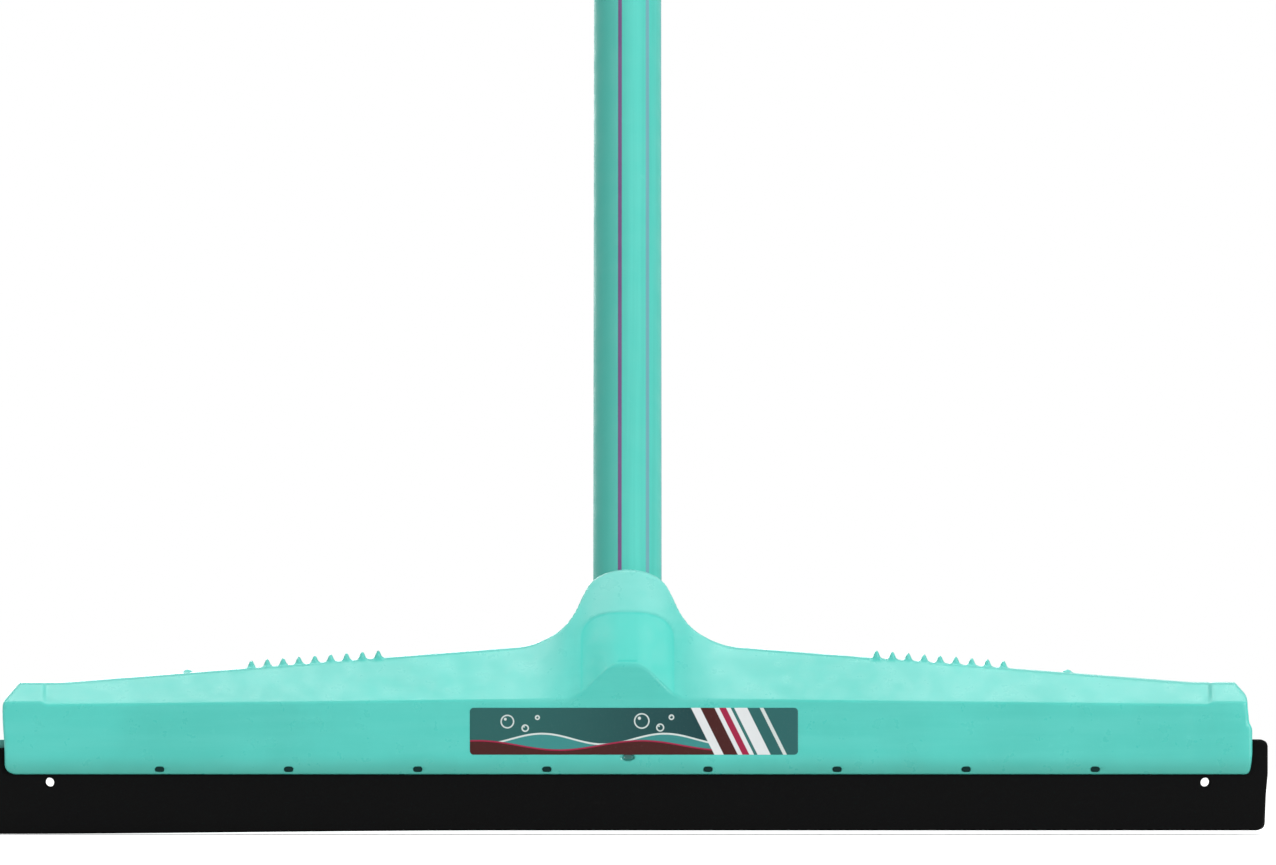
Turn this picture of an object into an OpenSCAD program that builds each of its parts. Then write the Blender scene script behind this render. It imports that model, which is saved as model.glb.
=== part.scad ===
// Floor squeegee: a moulded head with a tilted socket, two foam blades held by
// pins against a spacer, and a long film-covered steel handle with a hanging cap.
// X runs along the head, +Y is the side the handle leans to, and Z = 0 is the
// floor line under the middle of the blades.

/* [Head] */
// Length of the moulded head
head_l = 400; // [340:5:500]
// Depth of the head, front wall to rear wall
head_d = 25.2; // [25.2:0.1:28]
// Wall thickness of the moulding
wall_t = 2.6; // [2:0.1:2.6]
// Height of the front wall above the mouth at the ends
wall_h_end = 22; // [20:0.5:24]
// Height of the front wall above the mouth at the middle
wall_h_mid = 24.2; // [23:0.1:26]
// Height of the ridge above the mouth at the ends
ridge_h_end = 29.4; // [28:0.1:32]
// Height of the ridge above the mouth where the neck's flare starts
ridge_h_mid = 40.4; // [38:0.1:42]
// Least thickness of the ridge and of the flare
ridge_t = 4.5; // [3:0.1:5]
// Slope of the rear roof from vertical
rear_tilt = 24; // [20:1:28]
// Length of the level ridge at each end
end_flat = 19; // [16:0.5:24]
// Length of the sloping hip at each end
hip_l = 7; // [4:0.5:9]
// Length of the raised block at each end
block_l = 13; // [11:0.5:15]
// Step of the front wall's edge at the end block
block_step = 1; // [0.4:0.1:1.5]
// Radius of the head's lower corners
corner_r = 4.5; // [2:0.5:6]

/* [Neck and socket] */
// Lean of the handle from vertical
tilt = 40; // [36:1:44]
// Height of the front wall's central bump above its edge line
bell_h = 11.2; // [9:0.1:13]
// Half width of the bump at its foot
bell_half = 20; // [17:0.5:24]
// Radius of the socket boss below the collar
boss_r = 14; // [13.6:0.1:15]
// How far the collar stands proud of the boss
collar_proud = 0.6; // [0.2:0.1:1]
// Length of the collar along the handle
collar_l = 17.2; // [12:0.2:20]
// Length of the taper at the collar's mouth
collar_taper_l = 2; // [1:0.2:4]
// How far the collar's mouth is drawn in
collar_taper = 0.8; // [0.4:0.1:1.4]
// Share of the boss's radius that keeps its round front
round_share = 0.6; // [0.4:0.05:0.8]
// How far the barrel round the socket lies inside the neck's front
barrel_inset = 0.4; // [0.2:0.1:0.8]
// Height of the collar's front edge above the mouth
rim_h = 65.8; // [64:0.2:70]
// Depth of the socket along the handle
socket_l = 39; // [36:0.5:40]
// Thickness of the socket's floor
socket_floor = 2.4; // [1.6:0.1:3]
// Clearance between the handle and the socket bore, on radius
socket_clear = 0.08; // [0.05:0.01:0.2]
// Radius of the flare between neck and ridge
flare_r = 23.4; // [18:0.2:25]
// Distance of the flare's centre from the middle of the head
flare_x = 37.8; // [36:0.2:46]
// Steepest slope of the flare, from horizontal
flank = 65; // [60:1:68]

/* [Ribs and teeth] */
// Cavities under the roof on each side
bay_n = 9; // [6:1:12]
// Thickness of the ribs between the cavities
rib_t = 1.8; // [1.2:0.1:3]
// Rise of each cavity above the wall's edge line
cavity_rise = 8; // [4:0.5:9]
// Height of the cavity under the socket
well_h = 3.6; // [2:0.2:4]
// Cloth-grip teeth on each side of the ridge
tooth_n = 9; // [5:1:12]
// Distance of the first tooth from the middle of the head
tooth_x = 79.9; // [70:0.1:90]
// Spacing of the teeth
tooth_pitch = 5.08; // [4.4:0.02:6]
// Width of a tooth at its base
tooth_w = 3; // [2:0.1:4]
// Height of a tooth above the ridge
tooth_h = 2.6; // [1.5:0.1:3.5]
// Radius of a tooth's tip
tooth_tip_r = 0.7; // [0.4:0.1:0.8]
// Depth of a tooth along Y
tooth_d = 6; // [4:0.2:7]
// Distance of the low bump on the ridge from the middle of the head
bump_x = 141; // [135:0.5:150]
// Width of the low bump
bump_w = 3.2; // [2:0.1:4]
// Height of the low bump
bump_h = 1; // [0.5:0.1:1.5]
// Radius of the low bump's top
bump_tip_r = 0.6; // [0.3:0.1:0.6]
// Radius of the moulding gate's dimple on the front wall
gate_r = 1.6; // [1:0.1:2]
// Depth of the gate's dimple
gate_depth = 0.3; // [0.2:0.1:0.6]
// Height of the gate above the mouth
gate_h = 4.2; // [3.8:0.1:5]

/* [Blades] */
// Length of the foam blades
blade_l = 410; // [402:1:520]
// Thickness of each blade
blade_t = 5.5; // [4.5:0.1:5.6]
// Free height of the blades below the mouth
blade_drop = 18; // [14:0.5:24]
// Depth of the blades inside the head
blade_in = 11; // [9:0.2:12]
// Gap between a blade's fixed root and its bending lip
flex_gap = 0.3; // [0.2:0.05:0.5]
// Radius of the eyelets through the blades
eyelet_r = 1.5; // [1:0.1:2]
// Depth of the eyelets below the mouth
eyelet_drop = 2.6; // [2.2:0.1:4]
// Distance of the eyelets from the blades' ends
eyelet_inset = 20; // [16:0.5:25]

/* [Spacer and pins] */
// Length of the spacer between the blades
spacer_l = 396; // [330:1:500]
// Shift of the spacer towards the left end
spacer_shift = 5; // [0:0.5:8]
// Wall thickness of the spacer's channel section
spacer_wall = 1.8; // [1.2:0.1:2.4]
// Clearance between the spacer and each blade
spacer_clear = 0.2; // [0.1:0.05:0.4]
// How far the spacer stops short of the mouth
spacer_short = 0.4; // [0.2:0.1:1]
// Width of the flat fixing pins
pin_w = 2.8; // [2:0.1:3.6]
// Thickness of the flat fixing pins
pin_t = 1.6; // [1:0.1:2]
// Distance of the first pin from the middle of the head
pin_x = 25.8; // [22:0.2:30]
// Spacing of the pins
pin_pitch = 41.3; // [36:0.1:48]
// Least distance of the last pin from the head's end
pin_end = 15; // [10:0.5:25]
// Height of the pins above the mouth
pin_h = 1.65; // [1.5:0.05:3]
// How far the pins' ends lie below the walls' faces
pin_sink = 0.4; // [0.2:0.1:1]
// Clearance round the pins
pin_clear = 0.05; // [0.02:0.01:0.1]

/* [Label] */
// Length of the paper label on the front wall
label_l = 105; // [80:1:120]
// Height of the label
label_w = 15; // [10:0.5:15.5]
// Thickness of the label
label_t = 0.2; // [0.1:0.05:0.3]
// Corner radius of the label
label_r = 1.2; // [0.5:0.1:3]
// Distance of the label's middle from the middle of the head
label_x = 2.1; // [-10:0.1:10]
// Height of the label's lower edge above the mouth
label_h = 6.3; // [6:0.1:7]

/* [Handle] */
// Length of the steel tube
handle_l = 1200; // [300:10:1500]
// Outer diameter of the film-covered handle
handle_dia = 22; // [21:0.1:22]
// How much the film is drawn in at the socket, on radius
film_step = 0.25; // [0.15:0.01:0.4]
// Distance above the collar's mouth where the film has its full thickness
film_rise = 1; // [0.5:0.1:4]
// Thickness of the plastic film
film_t = 0.5; // [0.3:0.05:0.8]
// Clearance between the film and the steel tube, on radius
film_clear = 0.02; // [0.01:0.01:0.05]
// Wall thickness of the steel tube
tube_wall = 0.6; // [0.4:0.1:1.2]
// Gap between the handle's end and the socket's floor
handle_seat = 0.3; // [0.2:0.1:0.6]

/* [Hanging cap] */
// Length of the cap's plug inside the tube
plug_l = 24; // [14:1:40]
// Clearance between the plug and the tube, on radius
plug_clear = 0.05; // [0.02:0.01:0.2]
// Height of the cap's shoulder above the tube
shoulder_h = 6; // [4:0.5:10]
// Radius of the rounding on the shoulder
shoulder_r = 3; // [1:0.5:3.5]
// Radius of the round hanging tab
tab_r = 8.5; // [7:0.1:10]
// Thickness of the hanging tab
tab_t = 5; // [3:0.1:7]
// Distance of the hanging hole above the shoulder
hole_rise = 9; // [8:0.5:14]
// Diameter of the hanging hole
hole_dia = 9; // [6:0.5:10]

/* [Hidden] */
$fn = 64;

// Main places
half_l = head_l / 2;
half_d = head_d / 2;
inner_d = half_d - wall_t;
mouth_z = blade_drop;
channel_z = mouth_z + blade_in;
eps = 0.01;
through = 4 * head_d;

// Colours
teal = [0.36, 0.78, 0.73];
black = [0.08, 0.08, 0.08];
steel = [0.62, 0.64, 0.66];
dark_steel = [0.20, 0.20, 0.21];
paper = [0.88, 0.90, 0.86];

// The handle's axis crosses Y = 0 at axis_h above the mouth, so that the boss
// comes out of the front wall at the top of the central bump.
bell_top = wall_h_mid + bell_h;
axis_h = bell_top - (boss_r - half_d * cos(tilt)) / sin(tilt);
collar_r = boss_r + collar_proud;
rim_r = collar_r - collar_taper;
rim_u = (rim_h - axis_h - rim_r * sin(tilt)) / cos(tilt);
neck_u = rim_u - collar_taper_l;
floor_u = rim_u - socket_l;

// The ridge rises to the flare, whose arc runs up into the neck's flank.
arm_rise = (ridge_h_mid - ridge_h_end) / (half_l - end_flat - flare_x);
arm_slope = atan(arm_rise);
flare_h = ridge_h_mid + flare_r / cos(arm_slope);
flare_end_x = flare_x - flare_r * sin(arm_slope);
flank_x = flare_x - flare_r * sin(flank);
flank_h = flare_h - flare_r * cos(flank);
hip_h = 0.6;

// Sizes of the blades, the handle and the patterns
blade_y = inner_d - blade_t / 2;
lip_r = blade_t / 2;
lip_axis_z = mouth_z - flex_gap - lip_r;
handle_r = handle_dia / 2;
insert_r = handle_r - film_step;
bore_r = insert_r + socket_clear;
tube_r = insert_r - film_t;
tube_bore_r = tube_r - tube_wall;
handle_u = floor_u + handle_seat;
handle_top_u = handle_u + handle_l;
cap_r = insert_r;
pin_n = floor((min(half_l, blade_l / 2) - pin_end - pin_x) / pin_pitch) + 1;
bay_from = collar_r + wall_t;
bay_to = half_l - hip_l;
bay_pitch = (bay_to - bay_from + rib_t) / bay_n;

function smooth(a, b, x) =
    let (t = max(0, min(1, (x - a) / (b - a))))
    t * t * (3 - 2 * t);
function mix(a, b, t) = a + (b - a) * t;

// Heights above the mouth at a distance x from the middle of the head
function edge_at(x) =
    mix(wall_h_mid, wall_h_end, abs(x) / half_l) + (abs(x) > half_l - block_l ? block_step : 0);
function bell_at(x) = abs(x) < bell_half ? bell_h * (1 + cos(180 * x / bell_half)) / 2 : 0;
function foot_at(x) =
    let (a = max(0, abs(x) - half_l + corner_r))
    corner_r - sqrt(max(0, corner_r * corner_r - a * a));
function arm_at(x) = min(ridge_h_end + arm_rise * (half_l - end_flat - x), flare_h);
function hip_at(x) = mix(ridge_h_end, edge_at(half_l) + hip_h, (x - half_l + hip_l) / hip_l);
function flare_at(x) = flare_h - sqrt(max(0, flare_r * flare_r - (flare_x - x) * (flare_x - x)));
function flank_at(x) = flank_h + (flank_x - x) * tan(flank);

// Distance of the front surface from the plane of the handle's axis, at its foot and top
function front_foot(x) = half_d * cos(tilt) + (edge_at(x) + bell_at(x) - axis_h) * sin(tilt);
function front_top(x) =
    let (a = abs(x), round_front = sqrt(max(0, boss_r * boss_r - a * a)))
    mix(round_front, front_foot(x), smooth(boss_r * round_share, flank_x, a));
function top_at(x) =
    let (a = abs(x))
    a >= half_l - hip_l ? hip_at(a)
    : a >= half_l - end_flat ? ridge_h_end
    : a >= flare_end_x ? arm_at(a)
    : a >= flank_x ? flare_at(a)
    : min(flank_at(a), axis_h + neck_u * cos(tilt) + front_top(a) * sin(tilt));
function ridge_front_y(x) = ((top_at(x) - axis_h) * sin(tilt) - front_top(x)) / cos(tilt);
function ridge_rear_y(x) =
    max(half_d - (top_at(x) - edge_at(x)) * tan(rear_tilt), ridge_front_y(x) + ridge_t);

// Outline of the head's section at x, as [y, height above the mouth]
function section(x) =
    let (
        w = smooth(flank_x, flare_end_x, abs(x)),
        front = [ridge_front_y(x), top_at(x)],
        behind = front + ridge_t * [cos(tilt), -sin(tilt)],
        level = [ridge_rear_y(x), top_at(x)]
    )
    [
        [-half_d, foot_at(x)],
        [-half_d, edge_at(x) + bell_at(x)],
        front,
        mix(behind, level, w),
        [half_d, edge_at(x)],
        [half_d, foot_at(x)]
    ];

// Places of the sections along one half of the head
neck_steps = 20;
flare_steps = 14;
corner_steps = 4;
half_stations = concat(
    [for (i = [0 : neck_steps]) flank_x * i / neck_steps],
    [for (i = [1 : flare_steps]) mix(flank_x, max(flare_end_x, bell_half + 1), i / flare_steps)],
    [half_l - end_flat, half_l - block_l - block_step / 2, half_l - block_l + block_step / 2, half_l - hip_l],
    [for (i = [0 : corner_steps]) half_l - corner_r * (1 - sin(90 * i / corner_steps))]
);
stations = concat(
    [for (i = [len(half_stations) - 1 : -1 : 1]) -half_stations[i]],
    half_stations
);

// Solid head before it is hollowed, lofted through its sections
module head_loft() {
    sides = len(section(0));
    last = len(stations) - 1;
    points = [
        for (x = stations)
        for (p = section(x))
        [x, p[0], mouth_z + p[1]]
    ];
    walls = [
        for (i = [0 : last - 1])
        for (j = [0 : sides - 1])
        let (
            a = i * sides + j,
            b = i * sides + (j + 1) % sides
        )
        for (t = [[a, b, b + sides], [a, b + sides, a + sides]])
        t
    ];
    left_end = [for (j = [1 : sides - 2]) [0, j + 1, j]];
    right_end = [for (j = [1 : sides - 2]) [last * sides, last * sides + j, last * sides + j + 1]];
    polyhedron(points, concat(walls, left_end, right_end));
}

// Places children at a distance u along the handle's axis, with Z along the handle
module on_axis(u) {
    translate([0, 0, mouth_z + axis_h])
        rotate([-tilt, 0, 0])
            translate([0, 0, u])
                children();
}

// Places children on both sides of the middle of the head
module both_sides() {
    children();
    mirror([1, 0, 0])
        children();
}

// Extrudes a [y, z] outline along X from x0 over a length
module along_x(x0, length) {
    translate([x0, 0, 0])
        rotate([90, 0, 90])
            linear_extrude(length)
                children();
}

// Barrel and collar round the socket; the barrel's foot is cut off within the front wall
module socket_boss() {
    intersection() {
        on_axis(floor_u - socket_floor)
            rotate_extrude()
                polygon([
                    [0, 0],
                    [boss_r - barrel_inset, 0],
                    [boss_r - barrel_inset, socket_floor + socket_l - collar_l],
                    [collar_r, socket_floor + socket_l - collar_l],
                    [collar_r, socket_floor + socket_l - collar_taper_l],
                    [rim_r, socket_floor + socket_l],
                    [0, socket_floor + socket_l]
                ]);
        translate([-through / 2, wall_t / 2 - half_d, mouth_z])
            cube([through, through, 2 * rim_h]);
    }
}

// One rounded tooth, standing on Z = 0 and running along Y
module tooth(width, height, tip_r) {
    lean = atan((width / 2 - tip_r) / (height - tip_r));
    arc = [for (i = [0 : 6]) mix(lean, 180 - lean, i / 6)];
    outline = concat(
        [[-width / 2, -height / 2], [width / 2, -height / 2], [width / 2, 0]],
        [for (a = arc) [tip_r * cos(a), height - tip_r + tip_r * sin(a)]],
        [[-width / 2, 0]]
    );
    rotate([90, 0, 0])
        linear_extrude(tooth_d, center = true)
            polygon(outline);
}

// A tooth or bump set on the ridge at x
module on_ridge(x) {
    translate([x, (ridge_front_y(x) + ridge_rear_y(x)) / 2, mouth_z + top_at(x)])
        children();
}

// Cavity under the roof between x and x + length, which follows the walls
module bay(x, length) {
    far = x + length;
    front_z = edge_at(far) - wall_t * tan(tilt / 2);
    rear_z = edge_at(far) - wall_t * tan(rear_tilt / 2);
    cap_z = min(top_at(far) - wall_t, edge_at(far) + cavity_rise);
    along_x(x, length)
        polygon([
            [-inner_d, channel_z - eps],
            [-inner_d, mouth_z + front_z],
            [-inner_d + (cap_z - front_z) * tan(tilt), mouth_z + cap_z],
            [inner_d - (cap_z - rear_z) * tan(rear_tilt), mouth_z + cap_z],
            [inner_d, mouth_z + rear_z],
            [inner_d, channel_z - eps]
        ]);
}

// Flat pin with round edges along Y, grown by a clearance
module flat_pin(length, grow) {
    r = pin_t / 2 + grow;
    reach = (pin_w - pin_t) / 2;
    rotate([90, 0, 0]) {
        for (side = [-1, 1])
            translate([side * reach, 0, 0])
                cylinder(h = length, r = r, center = true);
        cube([2 * reach, 2 * r, length], center = true);
    }
}

// Places a child at each pin
module at_pins() {
    both_sides()
        for (i = [0 : pin_n - 1])
            translate([pin_x + i * pin_pitch, 0, mouth_z + pin_h])
                children();
}

module pin_holes() {
    at_pins()
        flat_pin(through, pin_clear);
}

// Fixed root of a blade, clamped in the head at a distance y
module blade_root(y) {
    difference() {
        translate([-blade_l / 2, y - blade_t / 2, mouth_z])
            cube([blade_l, blade_t, blade_in]);
        pin_holes();
    }
}

// Bending lip of a blade, round at its top about the line that it bends on
module blade_lip(y) {
    difference() {
        along_x(-blade_l / 2, blade_l) {
            translate([y, lip_axis_z])
                circle(r = lip_r);
            translate([y - blade_t / 2, 0])
                square([blade_t, lip_axis_z]);
        }
        both_sides()
            translate([blade_l / 2 - eyelet_inset, y, mouth_z - eyelet_drop])
                rotate([90, 0, 0])
                    cylinder(h = 2 * blade_t, r = eyelet_r, center = true);
    }
}

module head_body() {
    color(teal)
        difference() {
            union() {
                head_loft();
                socket_boss();
                both_sides() {
                    for (i = [0 : tooth_n - 1])
                        on_ridge(tooth_x + i * tooth_pitch)
                            tooth(tooth_w, tooth_h, tooth_tip_r);
                    on_ridge(bump_x)
                        tooth(bump_w, bump_h, bump_tip_r);
                }
            }
            along_x(-head_l, 2 * head_l)
                translate([-inner_d, 0])
                    square([2 * inner_d, channel_z]);
            both_sides()
                for (i = [0 : bay_n - 1])
                    bay(bay_from + i * bay_pitch, bay_pitch - rib_t);
            along_x(-bay_from + rib_t, 2 * (bay_from - rib_t))
                translate([-inner_d, channel_z - eps])
                    square([2 * inner_d, well_h]);
            on_axis(floor_u)
                cylinder(h = 2 * socket_l, r = bore_r);
            pin_holes();
            translate([0, -half_d, mouth_z + gate_h])
                rotate([90, 0, 0])
                    cylinder(h = 2 * gate_depth, r = gate_r, center = true);
        }
}

module front_blade_root() {
    color(black)
        blade_root(-blade_y);
}

module front_blade_lip() {
    color(black)
        blade_lip(-blade_y);
}

module rear_blade_root() {
    color(black)
        blade_root(blade_y);
}

module rear_blade_lip() {
    color(black)
        blade_lip(blade_y);
}

// Channel-shaped strip that presses the two blades against the walls
module blade_spacer() {
    half_w = inner_d - blade_t - spacer_clear;
    low = mouth_z + spacer_short;
    color(teal)
        difference() {
            along_x(-spacer_l / 2 - spacer_shift, spacer_l)
                difference() {
                    translate([-half_w, low])
                        square([2 * half_w, channel_z - low]);
                    translate([spacer_wall - half_w, low - eps])
                        square([2 * (half_w - spacer_wall), channel_z - spacer_wall - low]);
                }
            pin_holes();
        }
}

module blade_pins() {
    color(dark_steel)
        at_pins()
            flat_pin(head_d - 2 * pin_sink, 0);
}

// Thin label with round corners, flat on the front wall
module label() {
    color(paper)
        translate([label_x, -half_d, mouth_z + label_h + label_w / 2])
            rotate([90, 0, 0]) {
                for (sx = [-1, 1], sy = [-1, 1])
                    translate([sx * (label_l / 2 - label_r), sy * (label_w / 2 - label_r), 0])
                        cylinder(h = label_t, r = label_r);
                translate([0, 0, label_t / 2]) {
                    cube([label_l, label_w - 2 * label_r, label_t], center = true);
                    cube([label_l - 2 * label_r, label_w, label_t], center = true);
                }
            }
}

module handle_tube() {
    color(steel)
        on_axis(handle_u)
            difference() {
                cylinder(h = handle_l, r = tube_r - film_clear);
                translate([0, 0, -eps])
                    cylinder(h = handle_l + 2 * eps, r = tube_bore_r);
            }
}

// Plastic film over the whole tube, drawn in from just above the socket
module handle_sleeve() {
    color(teal)
        difference() {
            union() {
                on_axis(handle_u)
                    cylinder(h = handle_l, r = insert_r);
                on_axis(rim_u + film_rise)
                    cylinder(h = handle_top_u - rim_u - film_rise, r = handle_r);
            }
            on_axis(handle_u - eps)
                cylinder(h = handle_l + 2 * eps, r = tube_r);
        }
}

// Cap pressed into the handle's upper end, with a tab to hang the handle by
module hang_cap() {
    color(teal)
        on_axis(handle_top_u)
            difference() {
                union() {
                    translate([0, 0, -plug_l])
                        cylinder(h = plug_l + eps, r = tube_bore_r - plug_clear);
                    rotate_extrude()
                        difference() {
                            union() {
                                square([cap_r, shoulder_h - shoulder_r]);
                                square([cap_r - shoulder_r, shoulder_h]);
                                translate([cap_r - shoulder_r, shoulder_h - shoulder_r])
                                    circle(r = shoulder_r);
                            }
                            translate([-cap_r, -cap_r])
                                square([cap_r, 4 * cap_r]);
                        }
                    translate([0, 0, shoulder_h + hole_rise])
                        rotate([90, 0, 0])
                            cylinder(h = tab_t, r = tab_r, center = true);
                    translate([-tab_r, -tab_t / 2, shoulder_h / 2])
                        cube([2 * tab_r, tab_t, hole_rise + shoulder_h / 2]);
                }
                translate([0, 0, shoulder_h + hole_rise])
                    rotate([90, 0, 0])
                        cylinder(h = 4 * tab_t, d = hole_dia, center = true);
            }
}

head_body();
front_blade_root();
front_blade_lip();
rear_blade_root();
rear_blade_lip();
blade_spacer();
blade_pins();
label();
handle_tube();
handle_sleeve();
hang_cap();
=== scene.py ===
import math

import bpy
import numpy as np
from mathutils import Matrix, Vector


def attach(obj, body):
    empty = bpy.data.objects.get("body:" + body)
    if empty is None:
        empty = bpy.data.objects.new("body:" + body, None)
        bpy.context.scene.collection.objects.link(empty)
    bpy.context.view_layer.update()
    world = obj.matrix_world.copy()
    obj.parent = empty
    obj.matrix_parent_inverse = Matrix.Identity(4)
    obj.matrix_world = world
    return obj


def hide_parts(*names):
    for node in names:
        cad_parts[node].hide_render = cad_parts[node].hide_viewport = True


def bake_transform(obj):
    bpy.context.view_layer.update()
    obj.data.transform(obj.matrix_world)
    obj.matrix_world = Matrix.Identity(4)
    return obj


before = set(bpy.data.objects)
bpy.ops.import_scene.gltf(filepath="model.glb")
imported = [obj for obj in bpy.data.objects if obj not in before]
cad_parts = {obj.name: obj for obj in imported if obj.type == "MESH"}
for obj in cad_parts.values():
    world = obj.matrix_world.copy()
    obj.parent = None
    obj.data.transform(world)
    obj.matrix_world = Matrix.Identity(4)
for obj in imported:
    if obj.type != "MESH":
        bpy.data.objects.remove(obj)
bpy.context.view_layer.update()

# Shapes are worked out in millimetres. piece() turns them into metres.
MM = 0.001

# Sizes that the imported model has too
HALF_L, HALF_D, MOUTH = 200.0, 12.6, 18.0
WALL_END, WALL_MID, BELL_H = 22.0, 24.2, 11.2
RIDGE_END, RIDGE_MID, RIDGE_T = 29.4, 40.4, 4.5
END_FLAT, BLOCK_L, CORNER_R = 19.0, 13.0, 4.5
REAR_TILT = math.tan(math.radians(24))
BOSS_R, RIM_R, RIM_H = 14.0, 13.8, 65.8
SOCKET_L, SOCKET_FLOOR, BORE_R = 39.0, 2.4, 10.83
FLARE_R, FLARE_X, FLANK = 23.4, 37.8, math.radians(65)
CHANNEL_Y, CHANNEL_H = 10.0, 11.0
BLADE_L, BLADE_T, BLADE_Y, BLADE_TOP = 410.0, 5.5, 7.25, 29.0
EYELET_X, EYELET_Z, EYELET_R = 185.0, 15.4, 1.5
PIN_X, PIN_PITCH, PIN_N, PIN_H = 25.8, 41.3, 4, 1.65
PIN_FLAT = 0.6
TOOTH_X, TOOTH_PITCH, TOOTH_N, TOOTH_HALF_D, BUMP_X = 79.9, 5.08, 9, 3.0, 141.0
HANDLE_R, INSERT_R, TUBE_R, TUBE_BORE = 11.0, 10.75, 10.23, 9.65
HANDLE_L, HANDLE_SEAT = 1200.0, 0.3
PLUG_L, PLUG_GAP, SHOULDER_H = 24.0, 0.05, 6.0
TAB_R, TAB_T, HOLE_RISE, HOLE_R = 8.5, 5.0, 9.0, 4.5
LABEL_X, LABEL_L, LABEL_W, LABEL_H, LABEL_CORNER = 2.1, 105.0, 15.0, 6.3, 1.2
TILT = math.radians(40)

# Sizes of the finer forms, which are the scene's own
HIP_L, HIP_FOOT = 5.4, 0.2
BELL_FROM, BELL_TO = 2.4, 19.3
CROWN, CROWN_X = 7.4, 34.0
RIM_EASE, RIM_ARCH, RIM_ARCH_X, RIM_POWER = 0.3, 4.5, 12.6, 2.4
NECK_SLIM, ARM_LEAN = 0.7, 0.19
PANEL_X, PANEL_H, PANEL_RISE, PANEL_POWER, PANEL_SUNK = 15.4, 42.0, 10.1, 2.6, 0.2
FRAME_X, FRAME_H, FRAME_HALF_W, FRAME_HALF_H, FRAME_R = 188.0, 12.0, 5.5, 6.0, 2.5
FRAME_EDGE, FRAME_SUNK, FRAME_LEFT = 1.1, 0.08, 0.6
DRAWN, DRAWN_H = 0.7, 6.5
DIP, DIP_IN, DIP_OUT, DIP_BEFORE = 0.42, 2.4, 0.7, 0.9
CORNER_RIGHT = 2.2
TOOTH_HALF_W, TOOTH_ROOT, TOOTH_COS, TOOTH_SIN = 1.34, 2.0, 0.922, 0.3875
BUMP_HALF_W, BUMP_ROOT = 1.45, 1.0
BARREL_BACK, PIN_HOLE_R = 1.3, 0.84
GATE_X, GATE_H, GATE_HALF_W, GATE_DEPTH = 0.3, 5.5, 1.9, 1.0
SAG_X, DROOP_X, FOAM_LEFT = -40.0, -165.0, -203.0
SHADE_TURN = math.radians(42)

# Places that follow from them, with u along the handle's axis
SIN, COS = math.sin(TILT), math.cos(TILT)
AXIS_H = WALL_MID + BELL_H - (BOSS_R - HALF_D * COS) / SIN
RIM_U = (RIM_H - AXIS_H - RIM_R * SIN) / COS
FLOOR_U = RIM_U - SOCKET_L
HANDLE_U = FLOOR_U + HANDLE_SEAT
TOP_U = HANDLE_U + HANDLE_L
ARM_RISE = (RIDGE_MID - RIDGE_END) / (HALF_L - END_FLAT - FLARE_X)
FLARE_H = RIDGE_MID + FLARE_R * math.hypot(1, ARM_RISE)
FLARE_END = FLARE_X - FLARE_R * math.sin(math.atan(ARM_RISE))
FLANK_X = FLARE_X - FLARE_R * math.sin(FLANK)
FLANK_H = FLARE_H - FLARE_R * math.cos(FLANK)
LABEL_MID = MOUTH + LABEL_H + LABEL_W / 2


def smooth(a, b, x):
    """Rise from 0 at a to 1 at b, level at both ends; a fall where b is below a."""
    t = np.clip((x - a) / (b - a), 0, 1)
    return t * t * (3 - 2 * t)


def smax(a, b, k):
    """Larger of two distances, with the edge between them rounded over about k."""
    h = np.maximum(k - np.abs(a - b), 0) / k
    return np.maximum(a, b) + h * h * k * 0.25


def smin(a, b, k):
    return -smax(-a, -b, k)


def mix(a, b, t):
    return a + (b - a) * t


# Head: a is the distance from its middle along X, h the height above its mouth
def edge_at(a):
    """Height of the front wall, which steps up at the end block."""
    block = HALF_L - BLOCK_L
    return mix(WALL_MID, WALL_END, a / HALF_L) + smooth(block - 1.6, block + 0.9, a)


def bell_at(a):
    """Rise of the bell above the front wall, in the middle of the head."""
    return BELL_H * (1 - smooth(BELL_FROM, BELL_TO, a))


def front_top(a):
    """How far the roof's plane lies in front of the handle's axis."""
    return HALF_D * COS + (edge_at(a) - AXIS_H) * SIN + CROWN * (1 - smooth(0, CROWN_X, a))


def top_at(a):
    """Height of the ridge: hip, flat end, straight arm, flare, then the flank and arched rim."""
    hip = mix(RIDGE_END, edge_at(HALF_L) + HIP_FOOT, (a - HALF_L + HIP_L) / HIP_L)
    arm = RIDGE_END + ARM_RISE * (HALF_L - END_FLAT - a)
    flare = FLARE_H - np.sqrt(np.maximum(FLARE_R**2 - (FLARE_X - a) ** 2, 0))
    rim = RIM_H - RIM_EASE - RIM_ARCH * (a / RIM_ARCH_X) ** RIM_POWER
    neck = smin(FLANK_H + (FLANK_X - a) * math.tan(FLANK), rim, 1.6)
    return np.select(
        [a >= HALF_L - HIP_L, a >= HALF_L - END_FLAT, a >= FLARE_END, a >= FLANK_X],
        [hip, RIDGE_END + 0 * a, arm, flare],
        neck,
    )


def head_section(a):
    """Heights of the front roof's foot and top, and depths of the ridge's front and rear edge."""
    foot = edge_at(a) + bell_at(a)
    top = top_at(a + NECK_SLIM * smooth(10, 13.5, a) * smooth(28, 20, a))
    front_y = ((top - AXIS_H) * SIN - front_top(a)) / COS + ARM_LEAN * (top - foot) * smooth(19, 38, a)
    rear_y = np.maximum(HALF_D - (top - edge_at(a)) * REAR_TILT, front_y + RIDGE_T)
    return foot, top, front_y, rear_y


def above(y, h, y0, h0, y1, h1):
    """Distance above the line from (y0, h0) to (y1, h1) in the head's section."""
    run, rise = y1 - y0, h1 - h0
    return (run * (h - h0) - rise * (y - y0)) / np.hypot(run, rise)


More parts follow.
